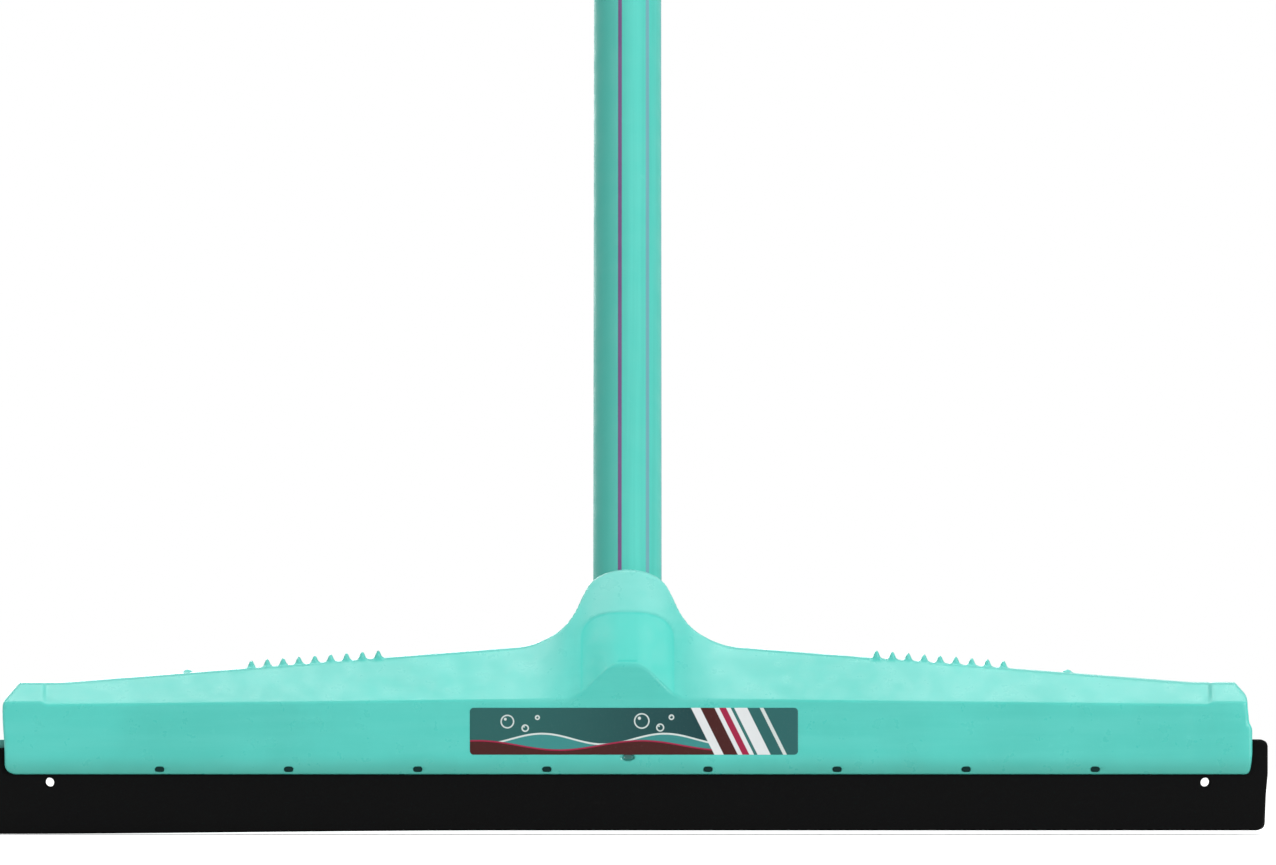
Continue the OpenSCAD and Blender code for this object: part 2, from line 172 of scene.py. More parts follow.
def front_wall(x, y, h):
    """Front wall, drawn in a little at its foot and sunk inside a faint frame at each end."""
    beside = np.maximum(np.abs(np.abs(x) - FRAME_X) - FRAME_HALF_W, 0)
    beyond = np.maximum(np.abs(h - FRAME_H) - FRAME_HALF_H, 0)
    inside = 1 - smooth(-FRAME_EDGE, FRAME_EDGE, np.hypot(beside, beyond) - FRAME_R)
    sunk = FRAME_SUNK * inside * np.where(x > 0, 1.0, FRAME_LEFT)
    return -HALF_D - y + DRAWN * np.clip((DRAWN_H - h) / DRAWN_H, 0, 1) ** 2 + sunk


def front_roof(a, y, h, d, foot, top, front_y):
    """Front roof, with the faint arched panel on the neck and a dip beside each end block."""
    over = np.maximum(h - PANEL_H, 0) * PANEL_X / PANEL_RISE
    arch = (a**PANEL_POWER + over**PANEL_POWER) ** (1 / PANEL_POWER) - PANEL_X
    panel = PANEL_SUNK * (1 - smooth(-0.9, 0.5, arch)) * smooth(-1.5, 2.0, d)
    past = a - HALF_L + BLOCK_L + DIP_BEFORE
    dip = DIP * np.exp(-((past / np.where(past < 0, DIP_IN, DIP_OUT)) ** 2))
    return above(y, h, -HALF_D, foot, front_y, top) + panel + dip * smooth(foot + 0.6, foot + 3.4, h)


def ridge_and_rear(a, y, h, top, front_y, rear_y):
    """Ridge, and the rear below it: roof and wall along the arms, a hollow under the neck."""
    on_arm = smooth(FLANK_X, FLARE_END, a)
    back_y = mix(front_y + RIDGE_T * COS, rear_y, on_arm)
    back_h = mix(top - RIDGE_T * SIN, top, on_arm)
    e = 0.1
    slope = (top_at(a + e) - top_at(np.maximum(a - e, 0))) / (2 * e)
    ridge = above(y, h, front_y, top, back_y, back_h) / np.sqrt(1 + slope * slope * on_arm)
    roof, wall = above(y, h, back_y, back_h, HALF_D, edge_at(a)), y - HALF_D
    lean, least = np.clip((HALF_D - back_y) / 4.0, -1, 1), 0.02
    hollow = smin(wall, roof, 3.0 * np.maximum(-lean, least))
    return ridge, np.where(lean > 0, smax(wall, roof, 1.5 * np.maximum(lean, least)), hollow)


def lower_corners_and_ends(x, h):
    """Round lower corners and drafted end faces. The right end is stepped and has smaller corners."""
    a = np.abs(x)
    corner_r = np.where(x > 0, CORNER_RIGHT, CORNER_R)
    low = np.maximum(a - HALF_L + corner_r, 0)
    corner = corner_r - np.sqrt(np.maximum(corner_r**2 - low * low, 0))
    step, slant = smooth(14.2, 17.2, h), 0.5 * smooth(16, 23, h)
    right = step + slant + 0.9 * np.clip((7 - h) / 7, 0, 1) ** 1.5
    left = 0.7 * (1 - smooth(5, 20, h))
    return corner - h, a - HALF_L + np.where(x > 0, right, left)


def teeth_and_bump(a, rise, across):
    """Row of teeth and low bump on the ridge, from the height above it and the distance across it."""
    nearest = np.clip(np.round((a - TOOTH_X) / TOOTH_PITCH), 0, TOOTH_N - 1)
    t = a - TOOTH_X - nearest * TOOTH_PITCH
    flanks = [(side * t - TOOTH_HALF_W) * TOOTH_COS + rise * TOOTH_SIN for side in (1, -1)]
    tooth = smax(smax(smax(*flanks, 1.3), across, 0.9), -TOOTH_ROOT - rise, 0.5)
    bump = np.hypot((a - BUMP_X) / BUMP_HALF_W, rise) - 1
    bump = smax(smax(bump, across, 0.9), -BUMP_ROOT - rise, 0.5)
    return np.minimum(tooth, bump)


def head_field(x, y, z):
    """Distance from the moulded head's surface, negative inside it."""
    a, h = np.abs(x), z - MOUTH
    foot, top, front_y, rear_y = head_section(a)
    u = y * SIN + (h - AXIS_H) * COS
    d = -y * COS + (h - AXIS_H) * SIN
    r = np.sqrt(x * x + d * d)

    # Outer faces, each with the rounding of its edges
    roof = front_roof(a, y, h, d, foot, top, front_y)
    ridge, rear = ridge_and_rear(a, y, h, top, front_y, rear_y)
    corner, end = lower_corners_and_ends(x, h)
    body = front_wall(x, y, h)
    for face, rounding in ((roof, 0.5), (ridge, 1.1), (rear, 1.2), (corner, 0.7), (end, 1.2)):
        body = smax(body, face, rounding)

    # What stands on them: teeth, bumps and the socket's barrel
    across = np.abs(y - (front_y + rear_y) / 2) - TOOTH_HALF_D
    body = smin(body, teeth_and_bump(a, h - top, across), 0.8)
    barrel = smax(smax(r - RIM_R, u - RIM_U, 0.9), FLOOR_U - SOCKET_FLOOR - u, 1.0)
    body = smin(body, np.maximum(barrel, BARREL_BACK - HALF_D - y), 0.5)

    # What is cut from them: socket bore, blade channel, pin holes and the gate's dimple
    bore = smax(r - BORE_R, FLOOR_U - u, 0.6)
    channel = smax(np.abs(y) - CHANNEL_Y, h - CHANNEL_H, 0.6)
    nearest = np.clip(np.round((a - PIN_X) / PIN_PITCH), 0, PIN_N - 1)
    beside = np.maximum(np.abs(a - PIN_X - nearest * PIN_PITCH) - PIN_FLAT, 0)
    holes = np.hypot(beside, h - PIN_H) - PIN_HOLE_R
    gate = smax(np.hypot((x - GATE_X) / GATE_HALF_W, h - GATE_H) - 1, y + HALF_D - GATE_DEPTH, 0.5)
    for cut, rounding in ((bore, 0.7), (channel, 0.5), (holes, 0.3), (gate, 0.5)):
        body = smax(body, -cut, rounding)
    return body


def graded(low, high, step, *zones):
    """Grid positions from low to high, with the finest step of the zones (start, end, step) there."""
    zones = [(low, high, step), *zones]
    marks = sorted({min(max(v, low), high) for zone in zones for v in zone[:2]})
    at = [low]
    for a, b in zip(marks, marks[1:]):
        fine = min(size for start, end, size in zones if start <= (a + b) / 2 <= end)
        count = math.ceil((b - a) / fine - 1e-6)
        at += [a + (b - a) * (i + 1) / count for i in range(count)]
    return np.array(at)


def both_ends(zones):
    """The zones together with their mirror images."""
    return [zone for a, b, step in zones for zone in ((a, b, step), (-b, -a, step))]


def skin(field, xs, ys, zs, blocks=((slice(None),) * 3,)):
    """Smooth quad mesh on the zero level of a distance field: points, quads and outward normals."""
    shape, far = (len(xs), len(ys), len(zs)), 9.0
    value = np.full(shape, far, np.float32)
    for i, j, k in blocks:
        value[i, j, k] = field(xs[i][:, None, None], ys[j][None, :, None], zs[k][None, None, :])
    inside = value < 0
    count = np.zeros([n - 1 for n in shape], np.uint8)
    corners = [(i, j, k) for i in (0, 1) for j in (0, 1) for k in (0, 1)]
    for i, j, k in corners:
        count += inside[i : shape[0] - 1 + i, j : shape[1] - 1 + j, k : shape[2] - 1 + k]
    active = (count > 0) & (count < 8)
    cell = np.argwhere(active)
    index = np.full(count.shape, -1, np.int64)
    index[active] = np.arange(len(cell))

    # One point in each crossed cell, at the mean of the crossings on its edges
    grid = (xs, ys, zs)
    spot = [[grid[ax][cell[:, ax] + c[ax]] for ax in range(3)] for c in corners]
    at = [value[cell[:, 0] + c[0], cell[:, 1] + c[1], cell[:, 2] + c[2]] for c in corners]
    total, hits = np.zeros((len(cell), 3)), np.zeros(len(cell))
    for p in range(8):
        for q in range(p + 1, 8):
            if sum(abs(corners[p][ax] - corners[q][ax]) for ax in range(3)) != 1:
                continue
            cross = (at[p] < 0) != (at[q] < 0)
            t = np.where(cross, at[p] / np.where(cross, at[p] - at[q], 1), 0)
            for ax in range(3):
                total[:, ax] += cross * (spot[p][ax] + t * (spot[q][ax] - spot[p][ax]))
            hits += cross
    points = total / hits[:, None]

    # One quad round each crossed grid edge
    quads = []
    for ax in range(3):
        s, v = np.moveaxis(inside, ax, 0), np.moveaxis(index, ax, 0)
        i, j, k = np.nonzero((s[:-1] != s[1:])[:, 1:-1, 1:-1])
        j, k = j + 1, k + 1
        ring = np.stack([v[i, j - 1, k - 1], v[i, j, k - 1], v[i, j, k], v[i, j - 1, k]], axis=1)
        outward = s[i, j, k] == (ax != 1)
        quads.append(np.where(outward[:, None], ring, ring[:, ::-1]))

    def gradient(p):
        e, out = 0.02, np.empty_like(p)
        for ax in range(3):
            step = np.zeros(3)
            step[ax] = e
            out[:, ax] = (field(*(p + step).T) - field(*(p - step).T)) / (2 * e)
        return out

    # Points are drawn onto the surface, by a short way each time
    sweeps, longest, flattest, tiny = 3, 0.3, 0.05, 1e-9
    for _ in range(sweeps):
        g = gradient(points)
        move = field(*points.T)[:, None] * g / np.maximum((g * g).sum(1), flattest)[:, None]
        length = np.linalg.norm(move, axis=1, keepdims=True)
        points = points - move * np.minimum(1, longest / np.maximum(length, tiny))
    normals = gradient(points)
    normals /= np.maximum(np.linalg.norm(normals, axis=1, keepdims=True), tiny)
    return points, np.concatenate(quads), normals


def piece(name, points, faces, normals=None, material_index=None):
    """Mesh object from points in millimetres."""
    mesh = bpy.data.meshes.new(name)
    sizes = np.array([len(f) for f in faces])
    starts = np.concatenate([[0], np.cumsum(sizes)[:-1]])
    mesh.vertices.add(len(points))
    mesh.vertices.foreach_set("co", (np.asarray(points, float) * MM).astype(np.float32).ravel())
    mesh.loops.add(int(sizes.sum()))
    mesh.loops.foreach_set("vertex_index", np.concatenate([np.asarray(f, np.int32) for f in faces]))
    mesh.polygons.add(len(faces))
    mesh.polygons.foreach_set("loop_start", starts.astype(np.int32))
    if material_index is not None:
        mesh.polygons.foreach_set("material_index", np.asarray(material_index, np.int32))
    mesh.update(calc_edges=True)
    mesh.polygons.foreach_set("use_smooth", np.ones(len(faces), bool))
    if normals is not None:
        mesh.normals_split_custom_set_from_vertices(normals.tolist())
    obj = bpy.data.objects.new(name, mesh)
    bpy.context.scene.collection.objects.link(obj)
    return obj


def on_axis(x, d, u):
    """Points given across, in front of and along the handle's axis, in the part's frame."""
    x, d, u = np.broadcast_arrays(np.asarray(x, float), np.asarray(d, float), np.asarray(u, float))
    return np.stack([x, u * SIN - d * COS, MOUTH + AXIS_H + u * COS + d * SIN], axis=-1)


def turned(name, profile, angles, slots=None):
    """Surface of a closed profile of (radius, distance) turned round the handle's axis."""
    r = np.array([p[0] for p in profile])[:, None]
    u = np.array([p[1] for p in profile])[:, None]
    t = np.radians(np.asarray(angles, float))[None, :]
    points = on_axis(r * np.sin(t), r * np.cos(t), u).reshape(-1, 3)
    m, n = len(profile), len(angles)
    faces, index = [], []
    for i in range(m):
        for j in range(n):
            row, after = i * n, (i + 1) % m * n
            faces.append((row + j, row + (j + 1) % n, after + (j + 1) % n, after + j))
            index.append(slots[j] if slots else 0)
    return piece(name, points, faces, None, index)


class Nodes:
    """Small helper to write a node tree."""

    def __init__(self, tree):
        self.tree = tree
        tree.nodes.clear()

    def add(self, kind):
        return self.tree.nodes.new("ShaderNode" + kind)

    def put(self, socket, value):
        if isinstance(value, bpy.types.NodeSocket):
            self.tree.links.new(value, socket)
        elif isinstance(value, tuple) and len(value) == 3 and socket.type == "RGBA":
            socket.default_value = (*value, 1.0)
        else:
            socket.default_value = value

    def math(self, operation, *values):
        node = self.add("Math")
        node.operation = operation
        for socket, value in zip(node.inputs, values):
            self.put(socket, value)
        return node.outputs[0]

    def times(self, first, *others):
        for other in others:
            first = self.math("MULTIPLY", first, other)
        return first

    def most(self, first, *others):
        for other in others:
            first = self.math("MAXIMUM", first, other)
        return first

    def length(self, a, b):
        return self.math("SQRT", self.math("ADD", self.times(a, a), self.times(b, b)))

    def seen(self):
        """1 for the rays that show the surround, straight or in gloss and glass."""
        path = self.add("LightPath").outputs
        return self.most(*(path[f"Is {kind} Ray"] for kind in ("Camera", "Glossy", "Transmission")))


class Shader(Nodes):
    """Material round one Principled shader, with its textures in object coordinates."""

    def __init__(self, name):
        self.material = bpy.data.materials.new(name)
        self.material.use_nodes = True
        super().__init__(self.material.node_tree)
        self.out = self.add("OutputMaterial")
        self.bsdf = self.add("BsdfPrincipled")
        self.put(self.out.inputs[0], self.bsdf.outputs[0])
        self.place = self.add("TexCoord").outputs["Object"]

    def set(self, **values):
        for key, value in values.items():
            self.put(self.bsdf.inputs[key.replace("_", " ")], value)

    def axes(self):
        node = self.add("SeparateXYZ")
        self.put(node.inputs[0], self.place)
        return node.outputs

    def mapped(self, scale, rotation=(0.0, 0.0, 0.0)):
        turn, stretch = self.add("Mapping"), self.add("Mapping")
        self.put(turn.inputs["Rotation"], rotation)
        self.put(turn.inputs["Vector"], self.place)
        self.put(stretch.inputs["Scale"], scale)
        self.put(stretch.inputs["Vector"], turn.outputs[0])
        return stretch.outputs[0]

    def noise(self, scale, detail=3.0, rough=0.5, vector=None):
        node = self.add("TexNoise")
        self.put(node.inputs["Vector"], vector or self.place)
        self.put(node.inputs["Scale"], scale)
        self.put(node.inputs["Detail"], detail)
        self.put(node.inputs["Roughness"], rough)
        return node.outputs[0]

    def cells(self, scale):
        node = self.add("TexVoronoi")
        self.put(node.inputs["Vector"], self.place)
        self.put(node.inputs["Scale"], scale)
        return node.outputs["Distance"]

    def between(self, value, low, high, to_low=0.0, to_high=1.0):
        node = self.add("MapRange")
        node.interpolation_type = "SMOOTHSTEP"
        for socket, v in zip(node.inputs, (value, low, high, to_low, to_high)):
            self.put(socket, v)
        return node.outputs[0]

    def blend(self, factor, a, b):
        node = self.add("Mix")
        node.data_type = "RGBA"
        self.put(node.inputs[0], factor)
        self.put(node.inputs[6], a)
        self.put(node.inputs[7], b)
        return node.outputs[2]

    def edges(self, low, high):
        return self.between(self.add("NewGeometry").outputs["Pointiness"], low, high)

    def bump(self, height, distance, under=None):
        node = self.add("Bump")
        self.put(node.inputs["Strength"], 1.0)
        self.put(node.inputs["Distance"], distance)
        self.put(node.inputs["Height"], height)
        if under is not None:
            self.put(node.inputs["Normal"], under)
        return node.outputs[0]


def moulded(name, dark, base, pale_and_sheen, rough, marks=None):
    """Semi-matte moulded polypropylene with flow marks, fine grain and convex edges made paler by a painted
    highlight.
    """
    s = Shader(name)
    cloud = s.between(s.noise(30, 4), 0.35, 0.65)
    flow = s.between(s.noise(1, 4, 0.6, s.mapped((14, 90, 190))), 0.38, 0.7)
    rub = s.between(s.noise(420, 3, 0.65), 0.6, 0.74)
    colour = s.blend(cloud, dark, base)
    # Flow marks and rubbing are the plastic's own; the paler convex edges are a painted highlight.
    for mask, amount in ((flow, 0.22), (rub, 0.16), (s.edges(0.53, 0.6), 0.35)):
        colour = s.blend(s.times(mask, amount), colour, pale_and_sheen)
    gloss = s.between(s.noise(160, 4, 0.6), 0.3, 0.7, rough - 0.05, rough + 0.07)
    if marks:
        colour, gloss = marks(s, colour, gloss)
    wave = s.bump(s.noise(75, 2), 0.00006)
    grain = s.bump(s.noise(2400, 2, 0.6), 0.000006, wave)
    s.set(Base_Color=colour, Roughness=gloss, Normal=grain, IOR=1.49)
    return s.material


def head_marks(s, colour, gloss):
    """Marks on the head: painted shade on the wall's foot and in the gate's dimple, a painted sheen making
    the roof paler, and painted shade on the neck's panel.
    """
    foot, gate_shade = (0.047, 0.365, 0.302), (0.010, 0.085, 0.075)
    pale_and_sheen, panel = (0.18, 0.62, 0.555), (0.035, 0.56, 0.475)
    x, y, z = s.axes()
    # Painted shade: the wall grows darker towards its foot at the mouth.
    height = s.math("MULTIPLY_ADD", s.noise(60, 3), 0.002, z)
    colour = s.blend(s.between(height, 0.0185, 0.0258, 1.0, 0.0), colour, foot)

    # Painted shade: a dark patch over the gate's dimple in the front wall.
    beside = s.math("MULTIPLY_ADD", x, 360.0, -0.1)
    beyond = s.math("MULTIPLY_ADD", z, 620.0, -0.62 * (MOUTH + 5.6))
    away = s.math("MULTIPLY_ADD", s.noise(900, 3), 0.5, s.length(beside, beyond))
    on_wall = s.between(y, -0.0105, -0.0095, 1.0, 0.0)
    colour = s.blend(s.times(s.between(away, 0.55, 1.35, 0.9, 0.0), on_wall), colour, gate_shade)

    # Painted sheen: the roof along the arms, beside the neck and up the collar is made paler, patchily.
    side = s.math("ABSOLUTE", x)
    arms, flares = s.between(side, 0.07, 0.19, 0.0, 0.6), s.between(side, 0.014, 0.022, 0.0, 0.4)
    kept = s.most(s.between(side, 0.028, 0.055, 1.0, 0.0), s.between(side, 0.07, 0.1))
    roof_sheen = s.most(s.times(s.most(arms, flares), kept), s.between(z, 0.050, 0.080, 0.0, 0.65))
    patchy = s.between(s.noise(200, 4, 0.6), 0.25, 0.6, 0.7, 1.0)
    colour = s.blend(s.times(roof_sheen, s.between(z, 0.0402, 0.0425), patchy), colour, pale_and_sheen)

    # Painted shade: the arched panel on the neck is made darker than the roof round it.
    wide = s.math("POWER", s.math("ABSOLUTE", s.times(x, 1 / MM / PANEL_X)), PANEL_POWER)
    over = s.math("MULTIPLY_ADD", z, 1 / MM / PANEL_RISE, -(MOUTH + PANEL_H) / PANEL_RISE)
    over = s.math("POWER", s.most(over, 0.0), PANEL_POWER)
    inside = s.times(
        s.between(s.math("ADD", wide, over), 0.86, 1.0, 1.0, 0.0),
        s.between(z, 0.0385, 0.0405),
        s.between(y, -0.0125, -0.0116),
        s.between(y, 0.008, 0.012, 1.0, 0.0),
    )
    colour = s.blend(s.times(inside, 0.85), colour, panel)
    return colour, s.math("MULTIPLY_ADD", inside, 0.04, gloss)


def foam():
    """Black closed-cell foam rubber with a fine skin and a few pale scuffs."""
    s = Shader("blade_foam")
    pores = s.cells(1500)
    cloud = s.noise(90, 5, 0.6)
    dust = s.between(s.noise(1, 4, 0.7, s.mapped((60, 420, 420))), 0.6, 0.8)
    colour = s.blend(s.between(cloud, 0.35, 0.65), (0.0034, 0.0034, 0.0036), (0.0048, 0.0048, 0.0048))
    s.set(
        Base_Color=s.blend(s.times(dust, 0.1), colour, (0.02, 0.019, 0.018)),
        Roughness=s.between(cloud, 0.3, 0.7, 0.72, 0.86),
        Normal=s.bump(pores, 0.00002, s.bump(s.noise(700, 3), 0.00002)),
        IOR=1.4,
        Specular_IOR_Level=0.08,
    )
    return s.material


def shaded_pin_steel():
    """Fixing pins, whose dark teal colour is painted shade of their holes and a painted reflection of the
    head's teal.
    """
    s = Shader("pin_steel")
    cloud = s.noise(900, 4, 0.6)
    s.set(
        # Painted shade and reflection: dark teal in place of the steel's own colour.
        Base_Color=s.blend(cloud, (0.003, 0.020, 0.018), (0.007, 0.034, 0.031)),
        Roughness=s.between(cloud, 0.3, 0.7, 0.5, 0.7),
        Normal=s.bump(s.noise(3000, 3), 0.00001),
        Specular_IOR_Level=0.06,
    )
    return s.material


def drawn_steel():
    """Bare steel with drawn lines along the tube."""
    s = Shader("tube_steel")
    lines = s.noise(1, 4, 0.7, s.mapped((900, 900, 8), (TILT, 0, 0)))
    s.set(
        Base_Color=s.blend(lines, (0.42, 0.43, 0.44), (0.62, 0.63, 0.64)),
        Roughness=s.between(lines, 0.3, 0.7, 0.28, 0.45),
        Normal=s.bump(lines, 0.00001),
        Metallic=1.0,
    )
    return s.material


def film(name, dark, base, fleck, side_shade=None):
    """Thin plastic film on the tube: drawn lines, a slight ripple and, where a shade colour is given,
    painted shade that darkens it on two opposite sides round the tube.
    """
    s = Shader(name)
    lines = s.noise(1, 4, 0.6, s.mapped((420, 420, 5), (TILT, 0, 0)))
    cloud = s.noise(40, 3)
    flecks = s.between(s.noise(300, 4, 0.65), 0.6, 0.78)
    colour = s.blend(s.between(lines, 0.32, 0.68), dark, base)
    colour = s.blend(s.times(flecks, 0.2), colour, fleck)
    if side_shade is not None:
        # Painted shade: the film is darkened on two opposite sides round the tube, one of them its left
        # side seen from the front, where the key light falls off.
        x, y, z = s.axes()
        ahead = s.math("MULTIPLY_ADD", z, SIN, -(MOUTH + AXIS_H) * SIN * MM)
        ahead = s.math("MULTIPLY_ADD", y, -COS, ahead)
        side = s.times(x, math.sin(SHADE_TURN) / MM / HANDLE_R)
        side = s.math("MULTIPLY_ADD", ahead, math.cos(SHADE_TURN) / MM / HANDLE_R, side)
        colour = s.blend(s.between(s.times(side, side), 0.04, 0.8, 0.85, 0.0), colour, side_shade)
    ripple = s.bump(cloud, 0.00003, s.bump(lines, 0.000012))
    s.set(
        Base_Color=colour,
        Roughness=s.between(s.noise(120, 3), 0.3, 0.7, 0.42, 0.52),
        Normal=s.bump(s.noise(1800, 2), 0.000004, ripple),
        IOR=1.5,
        Specular_IOR_Level=0.25,
    )
    return s.material


def printed_label():
    """Coated paper with a plain print of waves, bubbles and slanted bars."""
    s = Shader("label_paper")
    x, _, z = s.axes()
    x = s.math("MULTIPLY_ADD", x, 1 / MM, -LABEL_X)
    z = s.math("MULTIPLY_ADD", z, 1 / MM, -LABEL_MID)
    maroon, crimson = (0.052, 0.006, 0.005), (0.36, 0.015, 0.06)

    def below(value, limit, soft=0.12):
        return s.between(value, limit - soft, limit + soft, 1.0, 0.0)

    def band(value, start, end):
        return s.times(below(value, end), s.math("SUBTRACT", 1.0, below(value, start)))

    def away(cx, cz):
        return s.length(s.math("ADD", x, -cx), s.math("ADD", z, -cz))

    ground = s.blend(s.between(x, -50.0, 46.0), (0.020, 0.110, 0.104), (0.004, 0.036, 0.042))
    tall = s.times(s.math("SINE", s.times(x, 0.16)), 1.7)
    wide = s.times(s.math("SINE", s.math("MULTIPLY_ADD", x, 0.12, 1.3)), 1.5)
    swell, ebb = s.math("SUBTRACT", z, tall), s.math("SUBTRACT", z, wide)
    colour = s.blend(below(swell, -2.2), ground, (0.042, 0.25, 0.24))
    colour = s.blend(band(swell, -2.75, -2.2), colour, (0.66, 0.72, 0.70))
    colour = s.blend(below(ebb, -4.3), colour, maroon)
    colour = s.blend(band(ebb, -4.75, -4.3), colour, crimson)
    for cx, cz, radius in (
        (-40.5, 3.1, 2.2),
        (-34.8, 1.0, 1.2),
        (-30.9, 4.4, 0.8),
        (2.5, 3.3, 2.5),
        (8.4, 1.2, 1.3),
        (12.0, 4.5, 0.9),
    ):
        ring = band(away(cx, cz), radius - 0.42, radius)
        shine = below(away(cx - radius * 0.3, cz + radius * 0.35), radius * 0.2)
        colour = s.blend(s.most(ring, shine), colour, (0.62, 0.70, 0.68))
    lean, beyond_edge = s.math("MULTIPLY_ADD", z, 0.5, x), 99.0
    for start, end, ink in (
        (22.0, beyond_edge, (0.74, 0.76, 0.77)),
        (25.0, 29.5, maroon),
        (31.0, 33.2, (0.34, 0.012, 0.055)),
        (34.7, 35.8, (0.030, 0.150, 0.140)),
        (40.0, beyond_edge, (0.020, 0.115, 0.112)),
        (44.0, 45.2, (0.62, 0.68, 0.66)),
    ):
        colour = s.blend(band(lean, start, end), colour, ink)
    fibre = s.noise(1600, 4, 0.6)
    s.set(
        Base_Color=s.blend(s.between(fibre, 0.55, 0.8, 0.0, 0.05), colour, (0.3, 0.32, 0.3)),
        Roughness=s.between(s.noise(200, 3), 0.3, 0.7, 0.36, 0.5),
        Normal=s.bump(s.noise(140, 3), 0.00004, s.bump(fibre, 0.000004)),
        IOR=1.5,
        Specular_IOR_Level=0.2,
    )
    return s.material


teal = ((0.065, 0.53, 0.455), (0.074, 0.575, 0.497), (0.137, 0.665, 0.59))
dull_teal = ((0.11, 0.46, 0.41), (0.13, 0.52, 0.46), (0.19, 0.60, 0.54))
film_teal = ((0.063, 0.495, 0.415), (0.074, 0.545, 0.463), (0.13, 0.60, 0.53))
mauve = ((0.105, 0.040, 0.140), (0.132, 0.058, 0.172), (0.20, 0.13, 0.24))
pale_mauve = ((0.130, 0.320, 0.370), (0.155, 0.360, 0.410), (0.22, 0.42, 0.46))
head_plastic = moulded("head_plastic", *teal, 0.31, head_marks)
cap_plastic = moulded("cap_plastic", *teal, 0.38)
spacer_plastic = moulded("spacer_plastic", *dull_teal, 0.5)
blade_foam = foam()
pin_steel = shaded_pin_steel()
tube_steel = drawn_steel()
handle_film = film("handle_film", *film_teal, side_shade=(0.050, 0.375, 0.315))
stripe_dark = film("handle_stripe", *mauve)
stripe_pale = film("handle_fine_stripe", *pale_mauve)
label_paper = printed_label()


# Moulded head: its grid is fine at the neck, teeth, bumps, pin holes and ends, and tall only at the neck
HEAD_X, NECK_X, ARM_Y, ARM_Z = 201.2, 44.0, 13.9, 61.0
fine = [
    (TOOTH_X - 2.5, TOOTH_X + (TOOTH_N - 1) * TOOTH_PITCH + 2.5, 0.62),
    (BUMP_X - 3.2, BUMP_X + 3.2, 0.62),
    (182.0, HEAD_X, 1.05),
]
fine += [(PIN_X + i * PIN_PITCH - 1.8, PIN_X + i * PIN_PITCH + 1.8, 0.6) for i in range(PIN_N)]
xs = graded(-HEAD_X, HEAD_X, 4.0, (-NECK_X, NECK_X, 0.88), *both_ends(fine))
ys = graded(-13.2, 34.6, 0.95, (-13.2, -11.7, 0.36), (11.0, 13.2, 0.6))
zs = graded(17.2, 85.6, 0.75, (17.2, 22.0, 0.48), (39.4, 43.4, 0.36), (43.4, 50.0, 0.74))
low_y, low_z = slice(0, np.searchsorted(ys, ARM_Y)), slice(0, np.searchsorted(zs, ARM_Z))
left, right = np.searchsorted(xs, (-NECK_X, NECK_X))
blocks = [
    (slice(0, left), low_y, low_z),
    (slice(left, right), slice(None), slice(None)),
    (slice(right, None), low_y, low_z),
]
head = piece("head_moulding", *skin(head_field, xs, ys, zs, blocks))
head.data.materials.append(head_plastic)
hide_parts("head_body")
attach(head, "head")


# Foam blades, each one strip with an eyelet near each end
def blade_field(side):
    """Distance from the front (-1) or rear (1) blade, which droops and sags at its left end."""
    droop, sag, slant = (2.6, 1.1, 1.6) if side < 0 else (0.6, 0.5, 0.7)

    def field(x, y, z):
        drawn = slant * np.clip((MOUTH - z) / MOUTH, 0, 1)
        thick = np.abs(y - side * BLADE_Y) - BLADE_T / 2
        low = -z - sag * smooth(SAG_X, FOAM_LEFT, x)
        edge = smax(z - BLADE_TOP + droop * smooth(DROOP_X, FOAM_LEFT, x), low, 1.6)
        ends = smax(x - BLADE_L / 2 + drawn, -x - BLADE_L / 2 + 0.4 * drawn, 1.0)
        body = smax(smax(edge, ends, 2.4), thick, 0.9)
        eyelet = np.hypot(np.abs(x) - EYELET_X, z - EYELET_Z) - EYELET_R
        return smax(body, -eyelet, 0.5)

    return field


BLADE_X, AROUND = 206.2, 2.4
xs = graded(
    -BLADE_X,
    BLADE_X,
    2.6,
    *both_ends([(EYELET_X - AROUND, EYELET_X + AROUND, 0.35), (201.0, BLADE_X, 0.6)]),
)
zs = graded(-2.4, 30.6, 0.8, (EYELET_Z - AROUND, EYELET_Z + AROUND, 0.4))
for side, name, lip, root in (
    (-1, "front_blade", "front_lip", "front_blade_root"),
    (1, "rear_blade", "rear_lip", "rear_blade_root"),
):
    ys = side * BLADE_Y + np.linspace(-3.3, 3.3, 12)
    blade = piece(name, *skin(blade_field(side), xs, ys, zs)[:2])
    blade.data.materials.append(blade_foam)
    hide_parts(root, name + "_lip")
    y = side * BLADE_Y * MM
    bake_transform(blade)


# Handle: striped film over a steel tube
def turn_between(a, b):
    """Angle from b to a in degrees, within half a turn."""
    return (a - b + 180) % 360 - 180


FILM_INNER, FILM_RISE = TUBE_R + 0.05, 1.6
stripes = [  # middle, width and material of each stripe
    (middle + half, width, slot)
    for half in (0, 180)
    for middle, width, slot in ((-13.0, 6.6, 1), (36.0, 7.0, 2), (84.0, 9.0, 2))
]
marks = sorted({round(v, 3) % 360 for m, w, _ in stripes for v in (m - w / 2, m + w / 2)})
even = [v for v in np.arange(0, 360, 3.0) if min(abs(turn_between(v, m)) for m in marks) > 1.0]
angles = sorted({*marks, *even})
slots = []
for a, b in zip(angles, angles[1:] + [angles[0] + 360]):
    hit = [slot for m, w, slot in stripes if abs(turn_between((a + b) / 2, m)) < w / 2]
    slots.append(hit[0] if hit else 0)
step_u = RIM_U - 0.6
profile = [(FILM_INNER, HANDLE_U), (INSERT_R - 0.25, HANDLE_U), (INSERT_R - 0.07, HANDLE_U + 0.07)]
profile += [(INSERT_R, HANDLE_U + 0.25), (INSERT_R, step_u)]
